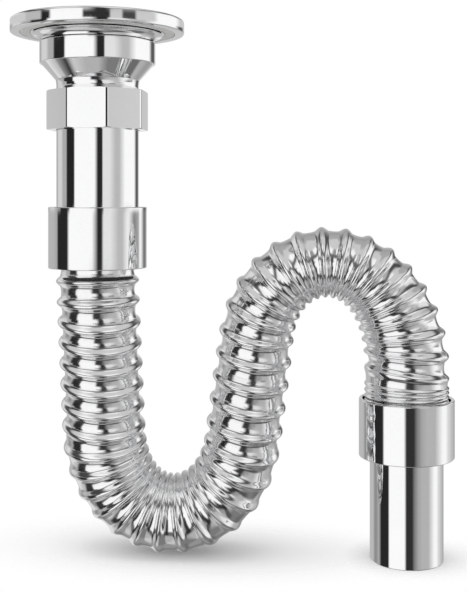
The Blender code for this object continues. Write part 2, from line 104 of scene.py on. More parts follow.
# Washer, waste body and nut
WASHER_FOOT_RADIUS = 0.0222
COVE_STEPS = 14
STEM_BORE = 0.0154
COLLAR_HEIGHT = 0.0085
COLLAR_STEP = 0.0007
CONE_HEIGHT = 0.0062
NECK_RADIUS = 0.0163
NECK_HEIGHT = 0.0048
NECK_WAIST = 0.0003
NECK_STEPS = 10
SPIGOT_RADIUS = 0.0167
BODY_SHOULDER = -0.0266
NUT_SIDES = 8
NUT_CORNER_TURN = math.radians(21)
NUT_WALL = 0.00115
NUT_BORE = 0.0175
NUT_FLOOR = 0.0028
NUT_CHAMFER = 0.0009
NUT_EDGE_FLAT = 0.0007
NUT_EDGE_STEPS = 2
NUT_CREASE = math.radians(10)
FIT_ROOM = 0.0003

# Threads
STEM_PITCH = 0.0020
SPIGOT_PITCH = 0.0015
THREAD_HEIGHT = 0.0005
THREAD_SINK = 0.0001
THREAD_FADE = 0.6
THREAD_FOOT = 0.55
THREAD_CREST = 0.12
THREAD_MARGIN = 0.0008

# Tubes and sleeves
TUBE_RADIUS = 0.0160
TUBE_BORE = 0.0150
LIP_HEIGHT = 0.0011
SLEEVE_SOCKET = 0.0172
SLEEVE_WEB_TOP = -0.0793
SLEEVE_WEB_FOOT = -0.0806
SOCKET_BORE = 0.0168
OUTLET_TUBE_RADIUS = 0.0140
OUTLET_TUBE_BORE = 0.0130
OUTLET_LIP_HEIGHT = 0.0012
SOCKET_FLOOR = 0.0037
FINE_EDGE = 0.0002
SHOWN_EDGE = 0.0004

# Ribbed pipe: its route, as lengths and turns from the inlet's sleeve to the outlet's socket
PIPE_TOP = -0.0842
DOWN_LEG = 0.0715
TRAP_LENGTH = 0.0891
RISER_LENGTH = 0.0408
ARCH_LENGTH = 0.0981
OUTLET_LEG = 0.0281
LEG_LEAN = math.radians(2.6)
LEG_LEAN_LENGTH = 0.0120
RISER_LEAN = math.radians(7.4)
BEND_EASE = 0.3
ARCH_SKEW = 0.18
ARCH_JOIN_PAST_TOP = 0.0018
SOCKET_DEPTH = 0.0149
PATH_STEPS = 1600
LEVEL_HALVINGS = 40

# Ribbed pipe: its section, which bending flattens
VALLEY_RADIUS = 0.0140
CREST_RADIUS = 0.0162
PIPE_BORE = 0.0133
BEAD_RADIUS = 0.0166
BEAD_HEIGHT = 0.0012
TRAP_FLATTENING = 0.075
RISER_FLATTENING = 0.078
ARCH_FLATTENING = 0.156
SIDE_SWELL = 0.4

# Ribbed pipe: its ribs, and the plain cuffs at its two ends
INLET_CUFF = 0.0083
OUTLET_CUFF = 0.0029
DOWN_RIBS = 15
RISER_RIBS = 17
RISER_PIECE_RIBS = 9
OUTLET_RIBS = 9
TIGHT_RIBS = 9
TIGHT_PITCH = 0.0020
TIGHT_DEPTH = 0.0007
RIB_VALLEY = 0.0142
RIB_HALF_WIDTH = 0.0020
RIB_WIDEST = 0.48
RIB_ROUNDNESS = 1.5
RIB_SWELL = 0.30
RIB_SAMPLES = 400
RIB_STATIONS = 14
TIGHT_STATIONS = 8
VALLEY_STATIONS = 3

# Ribbed pipe: how bending by hand has moved, pulled, leaned and tipped the ribs
RIB_CLOSING = 0.35
RIB_SHALLOWING = 0.5
RIB_PULLING = 1.2
RIB_STIFFNESS = 0.15
RISER_RIB_SHIFT = 0.0022
ARCH_RIB_LEAN = math.radians(8)
DOWN_RIB_LEAN = math.radians(5)
RISER_RIB_LEAN = math.radians(2)
DOWN_TIP = math.radians(11.5)
RISER_TIP = math.radians(8)
TIP_START = 0.0130
TIP_LENGTH = 0.0180
BEND_REACH = 0.0005

# Camera, measured in the photograph's frame of 467 by 592
CAMERA_PLACE = (0.0782, -0.4075, -0.0642)
CAMERA_YAW = math.radians(3.5)
FOCAL_PIXELS = 1050
DROP_PIXELS = 98
FRAME_HEIGHT = 592
SENSOR = 36

# Studio
WORLD_LEVEL = 0.75
SHADOW_LEVEL = 0.2
LAMP_PLACE = (0.02, -0.10, 0.95)
LAMP_SIZE = 0.7
LAMP_POWER = 4.0
FLOOR_DROP = 0.0002
FLOOR_RADIUS = 0.9
FLOOR_STEPS = 64
FLOOR_COLOUR = (0.97, 0.97, 0.97, 1)
FLOOR_ROUGHNESS = 0.6
FLOOR_LIFT = 0.15
# Middle and reach of the two ovals of floor that show shade: under the trap and under the outlet
SHADES = [((0.035, 0.004), (0.105, 0.045)), ((0.122, 0.002), (0.045, 0.030))]


def add_piece(name, bm, material, body=None, nodes=(), even=True, crease=SMOOTH_ANGLE):
    """Turn a bmesh into a smooth-shaded piece with its material, body and the nodes it stands for."""
    bmesh.ops.remove_doubles(bm, verts=bm.verts, dist=MERGE_DISTANCE)
    bmesh.ops.recalc_face_normals(bm, faces=bm.faces)
    mesh = bpy.data.meshes.new(name)
    bm.to_mesh(mesh)
    bm.free()
    mesh.shade_smooth()
    mesh.set_sharp_from_angle(angle=crease)
    mesh.materials.append(material)
    piece = bpy.data.objects.new(name, mesh)
    bpy.context.scene.collection.objects.link(piece)
    if even:
        shine = piece.modifiers.new("even_shine", "WEIGHTED_NORMAL")
        shine.keep_sharp = True
    if body:
        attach(piece, body)
    if nodes:
        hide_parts(*nodes)
    return piece


def turned(outline, axis_x=0.0, closed=True):
    """Spin an outline of (radius, height, corner round) points round a vertical axis."""
    bm = bmesh.new()
    verts = [bm.verts.new((axis_x + point[0], 0, point[1])) for point in outline]
    for index in range(0 if closed else 1, len(verts)):
        bm.edges.new((verts[index - 1], verts[index]))
    rounds = sorted({point[2] for point in outline if point[2] > 0})
    corners = {amount: [v for v, point in zip(verts, outline) if point[2] == amount] for amount in rounds}
    for amount in rounds:
        bmesh.ops.bevel(bm, geom=corners[amount], offset=amount, offset_type="OFFSET", segments=CORNER_STEPS,
                        profile=0.5, affect="VERTICES", material=-1, clamp_overlap=True)
    bmesh.ops.spin(bm, geom=bm.verts[:] + bm.edges[:], cent=(axis_x, 0, 0), axis=(0, 0, 1), angle=math.tau,
                   steps=TURNED_STEPS, use_merge=True)
    bmesh.ops.remove_doubles(bm, verts=bm.verts, dist=MERGE_DISTANCE)
    return bm


def solid_turned(outline):
    """Spin an open outline that starts and ends on the axis."""
    return turned(outline, closed=False)


def ring(inner, outer, top, foot, edge):
    """Outline of a flat ring with its four edges rounded."""
    return [(inner, top, edge), (outer, top, edge), (outer, foot, edge), (inner, foot, edge)]


def smooth(share):
    """A share held between 0 and 1, with soft ends."""
    share = min(max(share, 0), 1)
    return share * share * (3 - 2 * share)


def temporary(bm):
    """Hold a bmesh in a plain object while it is cut."""
    bmesh.ops.recalc_face_normals(bm, faces=bm.faces)
    mesh = bpy.data.meshes.new("blank")
    bm.to_mesh(mesh)
    bm.free()
    item = bpy.data.objects.new("blank", mesh)
    bpy.context.scene.collection.objects.link(item)
    return item


def carved(blank, cuts):
    """Cut or trim a closed bmesh with others, given as (operation, bmesh) pairs."""
    base = temporary(blank)
    tools = []
    for operation, shape in cuts:
        tool = temporary(shape)
        change = base.modifiers.new("cut", "BOOLEAN")
        change.operation = operation
        change.solver = "EXACT"
        change.object = tool
        tools.append(tool)
    result = bmesh.new()
    result.from_object(base, bpy.context.evaluated_depsgraph_get())
    for item in [base] + tools:
        bpy.data.objects.remove(item, do_unlink=True)
    return result


# Materials

def node(tree, kind, **values):
    """Add a shader node and set its properties, or its inputs where the name is an input's."""
    made = tree.nodes.new(kind)
    for name, value in values.items():
        if hasattr(made, name):
            setattr(made, name, value)
        else:
            made.inputs[name.replace("_", " ")].default_value = value
    return made


def effect_group(name, inputs, outputs):
    """Start a shader node group with float inputs and outputs."""
    tree = bpy.data.node_groups.new(name, "ShaderNodeTree")
    for title, value in inputs:
        socket = tree.interface.new_socket(title, in_out="INPUT", socket_type="NodeSocketFloat")
        socket.default_value = value
    for title in outputs:
        tree.interface.new_socket(title, in_out="OUTPUT", socket_type="NodeSocketFloat")
    return tree, tree.nodes.new("NodeGroupInput"), tree.nodes.new("NodeGroupOutput")


def haze_group():
    """Faint handling haze: soft cloudy patches with fine grain in them, as a mask from 0 to 1."""
    tree, given, put = effect_group("handling_haze", [("Patch Scale", 60), ("Grain Scale", 900)], ["Haze"])
    place = node(tree, "ShaderNodeTexCoord")
    patch = node(tree, "ShaderNodeTexNoise", Detail=3.0, Roughness=0.55)
    grain = node(tree, "ShaderNodeTexNoise", Detail=2.0, Roughness=0.5)
    mixed = node(tree, "ShaderNodeMath", operation="MULTIPLY")
    spread = node(tree, "ShaderNodeMapRange", From_Min=0.16, From_Max=0.42)
    tree.links.new(place.outputs["Object"], patch.inputs["Vector"])
    tree.links.new(place.outputs["Object"], grain.inputs["Vector"])
    tree.links.new(given.outputs["Patch Scale"], patch.inputs["Scale"])
    tree.links.new(given.outputs["Grain Scale"], grain.inputs["Scale"])
    tree.links.new(patch.outputs["Fac"], mixed.inputs[0])
    tree.links.new(grain.outputs["Fac"], mixed.inputs[1])
    tree.links.new(mixed.outputs[0], spread.inputs["Value"])
    tree.links.new(spread.outputs["Result"], put.inputs["Haze"])
    return tree


def buffing_group():
    """Buffing lines that run round a turned piece: noise drawn out round the vertical axis."""
    tree, given, put = effect_group("buffing_lines", [("Line Scale", 2600), ("Wave Scale", 90)],
                                    ["Lines", "Waves"])
    place = node(tree, "ShaderNodeTexCoord")
    stretch = node(tree, "ShaderNodeMapping", Scale=(0.02, 0.02, 1.0))
    lines = node(tree, "ShaderNodeTexNoise", Detail=2.0, Roughness=0.6)
    waves = node(tree, "ShaderNodeTexNoise", Detail=1.0, Roughness=0.4)
    tree.links.new(place.outputs["Object"], stretch.inputs["Vector"])
    tree.links.new(stretch.outputs["Vector"], lines.inputs["Vector"])
    tree.links.new(place.outputs["Object"], waves.inputs["Vector"])
    tree.links.new(given.outputs["Line Scale"], lines.inputs["Scale"])
    tree.links.new(given.outputs["Wave Scale"], waves.inputs["Scale"])
    tree.links.new(lines.outputs["Fac"], put.inputs["Lines"])
    tree.links.new(waves.outputs["Fac"], put.inputs["Waves"])
    return tree


HAZE = haze_group()
BUFFING = buffing_group()


def start_material(name):
    material = bpy.data.materials.new(name)
    material.use_nodes = True
    tree = material.node_tree
    return material, tree, tree.nodes["Principled BSDF"]


def polished_metal(name, clear, dulled, roughness, patch_scale, line_depth, wave_depth):
    """Plated, buffed metal: haze dulls it in soft patches, and lines and waves bend its reflections."""
    material, tree, shader = start_material(name)
    shader.inputs["Metallic"].default_value = 1.0
    haze = node(tree, "ShaderNodeGroup", node_tree=HAZE)
    haze.inputs["Patch Scale"].default_value = patch_scale
    buffing = node(tree, "ShaderNodeGroup", node_tree=BUFFING)
    tint = node(tree, "ShaderNodeMix", data_type="RGBA")
    tint.inputs["A"].default_value = (*clear, 1)
    tint.inputs["B"].default_value = (*dulled, 1)
    rough = node(tree, "ShaderNodeMapRange", To_Min=roughness[0], To_Max=roughness[1])
    line_bump = node(tree, "ShaderNodeBump", Distance=line_depth)
    wave_bump = node(tree, "ShaderNodeBump", Distance=wave_depth)
    tree.links.new(haze.outputs["Haze"], tint.inputs["Factor"])
    tree.links.new(tint.outputs["Result"], shader.inputs["Base Color"])
    tree.links.new(haze.outputs["Haze"], rough.inputs["Value"])
    tree.links.new(rough.outputs["Result"], shader.inputs["Roughness"])
    tree.links.new(buffing.outputs["Waves"], wave_bump.inputs["Height"])
    tree.links.new(buffing.outputs["Lines"], line_bump.inputs["Height"])
    tree.links.new(wave_bump.outputs["Normal"], line_bump.inputs["Normal"])
    tree.links.new(line_bump.outputs["Normal"], shader.inputs["Normal"])
    return material


def moulded(name, dark, light, roughness, grain_scale, grain_depth):
    """Moulded seal or plastic: mottled colour, uneven gloss and a fine grain."""
    material, tree, shader = start_material(name)
    haze = node(tree, "ShaderNodeGroup", node_tree=HAZE)
    haze.inputs["Grain Scale"].default_value = grain_scale
    mottle = node(tree, "ShaderNodeMix", data_type="RGBA")
    mottle.inputs["A"].default_value = (*dark, 1)
    mottle.inputs["B"].default_value = (*light, 1)
    rough = node(tree, "ShaderNodeMapRange", To_Min=roughness[0], To_Max=roughness[1])
    bump = node(tree, "ShaderNodeBump", Distance=grain_depth)
    tree.links.new(haze.outputs["Haze"], mottle.inputs["Factor"])
    tree.links.new(mottle.outputs["Result"], shader.inputs["Base Color"])
    tree.links.new(haze.outputs["Haze"], rough.inputs["Value"])
    tree.links.new(rough.outputs["Result"], shader.inputs["Roughness"])
    tree.links.new(haze.outputs["Haze"], bump.inputs["Height"])
    tree.links.new(bump.outputs["Normal"], shader.inputs["Normal"])
    return material


CHROME = polished_metal("polished_chrome", clear=(0.955, 0.958, 0.960), dulled=(0.925, 0.930, 0.936),
                        roughness=(0.030, 0.050), patch_scale=60, line_depth=2e-7, wave_depth=1e-6)
PIPE_METAL = polished_metal("plated_pipe", clear=(0.945, 0.948, 0.950), dulled=(0.905, 0.910, 0.916),
                            roughness=(0.11, 0.14), patch_scale=85, line_depth=3e-7, wave_depth=3e-6)
RUBBER = moulded("black_rubber", dark=(0.018, 0.018, 0.019), light=(0.040, 0.040, 0.041),
                 roughness=(0.62, 0.80), grain_scale=1400, grain_depth=2e-5)
SILICONE = moulded("pale_silicone", dark=(0.72, 0.72, 0.70), light=(0.82, 0.82, 0.80),
                   roughness=(0.42, 0.60), grain_scale=700, grain_depth=1e-5)
NYLON = moulded("black_nylon", dark=(0.035, 0.035, 0.036), light=(0.060, 0.060, 0.061),
                roughness=(0.36, 0.52), grain_scale=900, grain_depth=1e-5)


# Drain flange, gasket and strainer

def drain_flange():
    low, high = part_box("drain_flange")
    gasket_low, gasket_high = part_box("sink_gasket")
    strainer_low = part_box("strainer")[0]
    rim, top, stem_end = high.x, high.z, low.z
    gasket_inner = rim - SEAT_WIDTH - GASKET_WIDTH - GASKET_ROOM
    recess_outer = gasket_high.x + GASKET_LINE
    recess_inner = gasket_inner - GASKET_LINE
    recess_roof = gasket_high.z + GASKET_ROOM
    ledge_radius = -strainer_low.x + FIT_ROOM
    ledge_rim = strainer_low.z + STRAINER_THICKNESS
    dish = []
    for step in range(DISH_STEPS + 1):
        share = step / DISH_STEPS
        dish.append((recess_outer + (ledge_radius - recess_outer) * share,
                     top + (ledge_rim - top) * share ** DISH_CURVE, 0))
    outline = [(recess_outer, 0, FINE_EDGE), (rim, 0, SHOWN_EDGE), (rim, top, RIM_ROUND)] + dish
    outline += [(ledge_radius, LEDGE_HEIGHT, FINE_EDGE), (THROAT_RADIUS, LEDGE_HEIGHT, SHOWN_EDGE),
                (THROAT_RADIUS, stem_end, FINE_EDGE), (STEM_RADIUS, stem_end, SHOWN_EDGE),
                (STEM_RADIUS, 0, FINE_EDGE), (recess_inner, 0, FINE_EDGE),
                (recess_inner, recess_roof, FINE_EDGE), (recess_outer, recess_roof, FINE_EDGE)]
    add_piece("polished_flange", turned(outline), CHROME, "drain", ["drain_flange"])
    gasket = ring(gasket_inner, gasket_high.x, gasket_high.z, gasket_low.z, FINE_EDGE)
    add_piece("flange_gasket", turned(gasket), SILICONE, "drain", ["sink_gasket"])


def on_hole_rim(edge, height):
    """True for an edge that runs round the top of one of the strainer's holes."""
    for vert in edge.verts:
        turn = round(math.atan2(vert.co.y, vert.co.x) / math.tau * STRAINER_HOLES) / STRAINER_HOLES * math.tau
        centre = Vector((HOLE_CIRCLE * math.cos(turn), HOLE_CIRCLE * math.sin(turn), height))
        if abs((vert.co - centre).length - HOLE_RADIUS) > HOLE_TOLERANCE:
            return False
    return True


def strainer():
    low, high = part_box("strainer")
    plate_top = low.z + STRAINER_THICKNESS
    outline = [(0, high.z, 0), (KNOB_RADIUS, high.z, KNOB_ROUND), (KNOB_WAIST, plate_top, KNOB_ROUND),
               (high.x, plate_top, FINE_EDGE), (high.x, low.z, FINE_EDGE), (0, low.z, 0)]
    drills = bmesh.new()
    for hole in range(STRAINER_HOLES):
        place = Matrix.Rotation(math.tau * hole / STRAINER_HOLES, 4, "Z")
        place = place @ Matrix.Translation((HOLE_CIRCLE, 0, low.z))
        bmesh.ops.create_cone(drills, cap_ends=True, segments=HOLE_STEPS, radius1=HOLE_RADIUS,
                              radius2=HOLE_RADIUS, depth=DRILL_DEPTH, matrix=place)
    bm = carved(solid_turned(outline), [("DIFFERENCE", drills)])
    hole_edges = [edge for edge in bm.edges if on_hole_rim(edge, plate_top)]
    bmesh.ops.bevel(bm, geom=hole_edges, offset=FINE_EDGE, offset_type="OFFSET",
                    segments=HOLE_EDGE_STEPS, profile=0.5, affect="EDGES", material=-1, clamp_overlap=True)
    add_piece("strainer_grid_plate", bm, CHROME, "strainer_grid", ["strainer"])


# Washer and waste body

def back_washer():
    low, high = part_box("back_washer")
    cove = []
    width = high.x - WASHER_FOOT_RADIUS
    drop = high.z - low.z - SHOWN_EDGE
    for step in range(COVE_STEPS + 1):
        angle = math.pi / 2 * step / COVE_STEPS
        cove.append((WASHER_FOOT_RADIUS + width * (1 - math.sin(angle)), low.z + drop * math.cos(angle), 0))
    outline = [(STEM_BORE, low.z, FINE_EDGE), (STEM_BORE, high.z, FINE_EDGE), (high.x, high.z, FINE_EDGE)]
    outline += cove
    add_piece("coved_washer", turned(outline), CHROME, "clamp", ["back_washer"])


def waste_body():
    low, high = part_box("waste_body")
    collar, collar_top, spigot_end = high.x, high.z, low.z
    collar_foot = collar_top - COLLAR_HEIGHT
    cone_foot = collar_foot - CONE_HEIGHT
    neck_foot = cone_foot - NECK_HEIGHT
    neck = []
    for step in range(NECK_STEPS + 1):
        share = step / NECK_STEPS
        waist = NECK_WAIST * math.sin(math.pi * share)
        neck.append((NECK_RADIUS - waist, cone_foot + (neck_foot - cone_foot) * share, 0))
    outline = [(STEM_BORE, collar_top, FINE_EDGE), (collar, collar_top, SHOWN_EDGE),
               (collar, collar_foot, SHOWN_EDGE), (collar - COLLAR_STEP, collar_foot, 0)] + neck
    outline += [(SPIGOT_RADIUS, neck_foot, FINE_EDGE), (SPIGOT_RADIUS, spigot_end, SHOWN_EDGE),
                (THROAT_RADIUS, spigot_end, FINE_EDGE), (THROAT_RADIUS, BODY_SHOULDER, FINE_EDGE),
                (STEM_BORE, BODY_SHOULDER, FINE_EDGE)]
    add_piece("polished_body", turned(outline), CHROME, "waste", ["waste_body"])


# Union nut

def union_nut():
    low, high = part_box("union_nut")
    flat_radius = NUT_BORE + NUT_WALL
    corner_radius = flat_radius / math.cos(math.pi / NUT_SIDES)
    place = Matrix.Translation((0, 0, (low.z + high.z) / 2)) @ Matrix.Rotation(NUT_CORNER_TURN, 4, "Z")
    blank = bmesh.new()
    bmesh.ops.create_cone(blank, cap_ends=True, segments=NUT_SIDES, radius1=corner_radius,
                          radius2=corner_radius, depth=high.z - low.z, matrix=place)
    upright = [edge for edge in blank.edges if abs(edge.verts[0].co.z - edge.verts[1].co.z) > NUT_FLOOR]
    bmesh.ops.bevel(blank, geom=upright, offset=NUT_EDGE_FLAT, offset_type="OFFSET",
                    segments=NUT_EDGE_STEPS, profile=0.5, affect="EDGES", material=-1, clamp_overlap=True)
    outside = corner_radius + NUT_CHAMFER
    shy = flat_radius - NUT_CHAMFER
    barrel = [(0, high.z + NUT_CHAMFER, 0), (shy, high.z + NUT_CHAMFER, 0),
              (outside, high.z - NUT_CHAMFER, 0), (outside, low.z + NUT_CHAMFER, 0),
              (shy, low.z - NUT_CHAMFER, 0), (0, low.z - NUT_CHAMFER, 0)]
    shoulder = low.z + NUT_FLOOR
    hole = TUBE_RADIUS + FIT_ROOM
    bore = [(0, high.z + NUT_FLOOR, 0), (NUT_BORE, high.z + NUT_FLOOR, 0), (NUT_BORE, shoulder, 0),
            (hole, shoulder, 0), (hole, low.z - NUT_FLOOR, 0), (0, low.z - NUT_FLOOR, 0)]
    bm = carved(blank, [("INTERSECT", solid_turned(barrel)), ("DIFFERENCE", solid_turned(bore))])
    add_piece("octagon_nut", bm, CHROME, "nut", ["union_nut"], crease=NUT_CREASE)


# Threads

def thread(name, core, crest, pitch, top, foot, phase, body):
    """A right-hand thread ridge from a core radius to a crest radius, faded in and out at its ends.

    The crest lies inside the core for a thread in a bore.
    """
    side = 1 if crest > core else -1
    root = core - side * THREAD_SINK
    foot_half = pitch * THREAD_FOOT / 2
    crest_half = pitch * THREAD_CREST / 2
    turns = (top - foot) / pitch
    steps = round(turns * THREAD_STEPS)
    start = foot + phase * pitch
    bm = bmesh.new()
    corners = [(root, -foot_half), (crest, -crest_half), (crest, crest_half), (root, foot_half)]
    verts = [bm.verts.new((radius, 0, start + height)) for radius, height in corners]
    face = bm.faces.new(verts)
    rise = Vector((0, 0, pitch * turns / steps))
    bmesh.ops.spin(bm, geom=verts + face.edges[:] + [face], cent=(0, 0, 0), axis=(0, 0, 1), dvec=rise,
                   angle=math.tau * turns, steps=steps)
    for vert in bm.verts:
        turned_by = math.atan2(vert.co.y, vert.co.x) / math.tau
        turned_by += round((vert.co.z - start) / pitch - turned_by)
        share = smooth(min(turned_by, turns - turned_by) / THREAD_FADE)
        radius = Vector((vert.co.x, vert.co.y)).length
        scale = (root + (radius - root) * share) / radius
        vert.co.x *= scale
        vert.co.y *= scale
    add_piece(name, bm, CHROME, body)


def threads():
    stem_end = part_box("drain_flange")[0].z
    body_low, body_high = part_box("waste_body")
    nut_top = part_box("union_nut")[1].z
    neck_foot = body_high.z - COLLAR_HEIGHT - CONE_HEIGHT - NECK_HEIGHT
    thread("stem_thread", STEM_RADIUS, STEM_RADIUS + THREAD_HEIGHT, STEM_PITCH, -THREAD_MARGIN,
           stem_end + THREAD_MARGIN, 0, "drain")
    thread("body_thread", STEM_BORE, STEM_BORE - THREAD_HEIGHT, STEM_PITCH, body_high.z - THREAD_MARGIN,
           stem_end + THREAD_MARGIN, 0.5, "waste")
    thread("spigot_thread", SPIGOT_RADIUS, SPIGOT_RADIUS + THREAD_HEIGHT, SPIGOT_PITCH,
           neck_foot - THREAD_MARGIN, body_low.z + THREAD_MARGIN, 0, "waste")
    thread("nut_thread", NUT_BORE, NUT_BORE - THREAD_HEIGHT, SPIGOT_PITCH, nut_top - THREAD_MARGIN,
           body_low.z + THREAD_MARGIN, 0.5, "nut")


# Tubes, sleeves and the rings between them

def inlet_tube():
    low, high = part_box("inlet_tube")
    lip_foot = high.z - LIP_HEIGHT
    outline = [(TUBE_BORE, high.z, FINE_EDGE), (high.x, high.z, FINE_EDGE), (high.x, lip_foot, FINE_EDGE),
               (TUBE_RADIUS, lip_foot, FINE_EDGE), (TUBE_RADIUS, low.z, FINE_EDGE),
               (TUBE_BORE, low.z, FINE_EDGE)]
    add_piece("tail_tube", turned(outline), CHROME, "tail", ["inlet_tube"])


def inlet_sleeve():
    low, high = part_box("inlet_sleeve")
    tube_bore = TUBE_RADIUS + FIT_ROOM
    outline = [(tube_bore, high.z, FINE_EDGE), (high.x, high.z, SHOWN_EDGE), (high.x, low.z, SHOWN_EDGE),
               (SLEEVE_SOCKET, low.z, FINE_EDGE), (SLEEVE_SOCKET, SLEEVE_WEB_FOOT, FINE_EDGE),
               (TUBE_BORE, SLEEVE_WEB_FOOT, FINE_EDGE), (TUBE_BORE, SLEEVE_WEB_TOP, FINE_EDGE),
               (tube_bore, SLEEVE_WEB_TOP, FINE_EDGE)]
    add_piece("tail_sleeve", turned(outline), CHROME, "tail", ["inlet_sleeve"])


def outlet():
    low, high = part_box("outlet_sleeve")
    axis_x = (low.x + high.x) / 2
    radius = (high.x - low.x) / 2
    shelf = low.z + SOCKET_FLOOR
    hole = OUTLET_TUBE_RADIUS + FIT_ROOM
    outline = [(SOCKET_BORE, high.z, SHOWN_EDGE), (radius, high.z, SHOWN_EDGE), (radius, low.z, SHOWN_EDGE),
               (hole, low.z, FINE_EDGE), (hole, shelf, FINE_EDGE), (SOCKET_BORE, shelf, FINE_EDGE)]
    add_piece("outlet_socket", turned(outline, axis_x), CHROME, "outlet", ["outlet_sleeve"])
    low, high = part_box("outlet_tube")
    lip = high.x - axis_x
    lip_foot = high.z - OUTLET_LIP_HEIGHT
    outline = [(OUTLET_TUBE_BORE, high.z, FINE_EDGE), (lip, high.z, FINE_EDGE), (lip, lip_foot, FINE_EDGE),
               (OUTLET_TUBE_RADIUS, lip_foot, FINE_EDGE), (OUTLET_TUBE_RADIUS, low.z, SHOWN_EDGE),
               (OUTLET_TUBE_BORE, low.z, SHOWN_EDGE)]
    add_piece("outlet_spout", turned(outline, axis_x), CHROME, "outlet", ["outlet_tube"])


def inner_rings():
    """Seals and rings that the metal pieces hide, each with its hole's radius."""
    rings = [("stem_seal", "body_seal", THROAT_RADIUS + FIT_ROOM, RUBBER, "rubber", "waste"),
             ("lip_seal", "union_seal", THROAT_RADIUS + FIT_ROOM, RUBBER, "rubber", "waste"),
             ("slip_washer", "slip_ring", TUBE_RADIUS + FIT_ROOM, NYLON, "nylon", "slip"),
             ("bead_seal", "inlet_seal", PIPE_BORE, RUBBER, "rubber", "tail"),
             ("bead_lock", "inlet_lock_ring", VALLEY_RADIUS + FIT_ROOM, NYLON, "nylon", "tail"),
             ("pipe_grip", "outlet_grip_ring", VALLEY_RADIUS + FIT_ROOM, NYLON, "nylon", "outlet"),
             ("outlet_washer", "outlet_seal", PIPE_BORE, RUBBER, "rubber", "outlet")]
    for name, replaced, hole, material, slot, body in rings:
        low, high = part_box(replaced)
        axis_x = (low.x + high.x) / 2
        outline = ring(hole, high.x - axis_x, high.z, low.z, FINE_EDGE)
        add_piece(name, turned(outline, axis_x), material, body, [replaced])


# Ribbed pipe: route, ribs and section

PIPE_LENGTH = DOWN_LEG + TRAP_LENGTH + RISER_LENGTH + ARCH_LENGTH + OUTLET_LEG
TRAP_START = DOWN_LEG
RISER_START = TRAP_START + TRAP_LENGTH
ARCH_START = RISER_START + RISER_LENGTH
ARCH_END = ARCH_START + ARCH_LENGTH
TRAP_TURN = math.pi - RISER_LEAN - LEG_LEAN
ARCH_TURN = math.pi - RISER_LEAN


def eased(share, skew=0):
    """Share of a bend's turn that is done at a share of its length, tightest near the middle."""
    share = min(max(share, 0), 1)
    middling = BEND_EASE * math.sin(math.tau * share) / math.tau
    early = skew * math.sin(math.pi * share) ** 2 / math.pi
    return share - middling + early


def heading(along):
    """Direction of the centreline, as an angle from +X towards +Z."""
    leaned = LEG_LEAN * eased((along - INLET_CUFF) / LEG_LEAN_LENGTH)
    turned_in_trap = TRAP_TURN * eased((along - TRAP_START) / TRAP_LENGTH)
    turned_in_arch = ARCH_TURN * eased((along - ARCH_START) / ARCH_LENGTH, ARCH_SKEW)
    return leaned + turned_in_trap - turned_in_arch - math.pi / 2


def centreline():
    """Points of the centreline at even steps, from the pipe's top end."""
    step = PIPE_LENGTH / PATH_STEPS
    point = Vector((0, 0, PIPE_TOP))
    points = [point]
    for index in range(PATH_STEPS):
        angle = heading((index + 0.5) * step)
        point = point + step * Vector((math.cos(angle), 0, math.sin(angle)))
        points.append(point)
    return points


PATH = centreline()


def path_point(along):
    place = min(max(along / PIPE_LENGTH, 0), 1) * PATH_STEPS
    index = min(int(place), PATH_STEPS - 1)
    return PATH[index].lerp(PATH[index + 1], place - index)


def level_length(start, end):
    """Length along the pipe where it runs level, between two lengths on either side of that place."""
    rising = math.sin(heading(end)) > math.sin(heading(start))
    for _ in range(LEVEL_HALVINGS):
        middle = (start + end) / 2
        if (math.sin(heading(middle)) > 0) == rising:
            end = middle
        else:
            start = middle
    return (start + end) / 2


TRAP_BOTTOM = level_length(TRAP_START, RISER_START)
ARCH_TOP = level_length(ARCH_START, ARCH_END)
ARCH_JOIN = ARCH_TOP + ARCH_JOIN_PAST_TOP
TIGHT_START = PIPE_LENGTH - OUTLET_CUFF - TIGHT_RIBS * TIGHT_PITCH


def flattening(along):
    """How far bending has squeezed the pipe in its own plane: none in the two straight end legs."""
    riser_middle = (RISER_START + ARCH_START) / 2
    stations = [(TRAP_START, 0), (TRAP_BOTTOM, TRAP_FLATTENING), (riser_middle, RISER_FLATTENING),
                (ARCH_TOP, ARCH_FLATTENING), (ARCH_END, 0)]
    for (near, near_value), (far, far_value) in zip(stations, stations[1:]):
        if near <= along <= far:
            return near_value + (far_value - near_value) * smooth((along - near) / (far - near))
    return 0


def leg_shares(along):
    """How far a place on the pipe belongs to the leg going down and to the riser, each from 0 to 1."""
    down = smooth((along - TIP_START) / TIP_LENGTH)
    down -= smooth((along - TRAP_START) / (TRAP_BOTTOM - TRAP_START))
    up = smooth((along - TRAP_BOTTOM) / (RISER_START - TRAP_BOTTOM))
    up -= smooth((along - ARCH_START) / (ARCH_TOP - ARCH_START))
    return down, up


def rib_lean(along):
    """How far the ribs lean to the outlet's side: a little in the legs, more from the arch to the socket."""
    socket_mouth = PIPE_LENGTH - SOCKET_DEPTH
    tipped = smooth((along - ARCH_TOP) / (ARCH_END - ARCH_TOP))
    righted = smooth((along - ARCH_END) / (socket_mouth - ARCH_END))
    down, up = leg_shares(along)
    return ARCH_RIB_LEAN * (tipped - righted) + DOWN_RIB_LEAN * down + RISER_RIB_LEAN * up


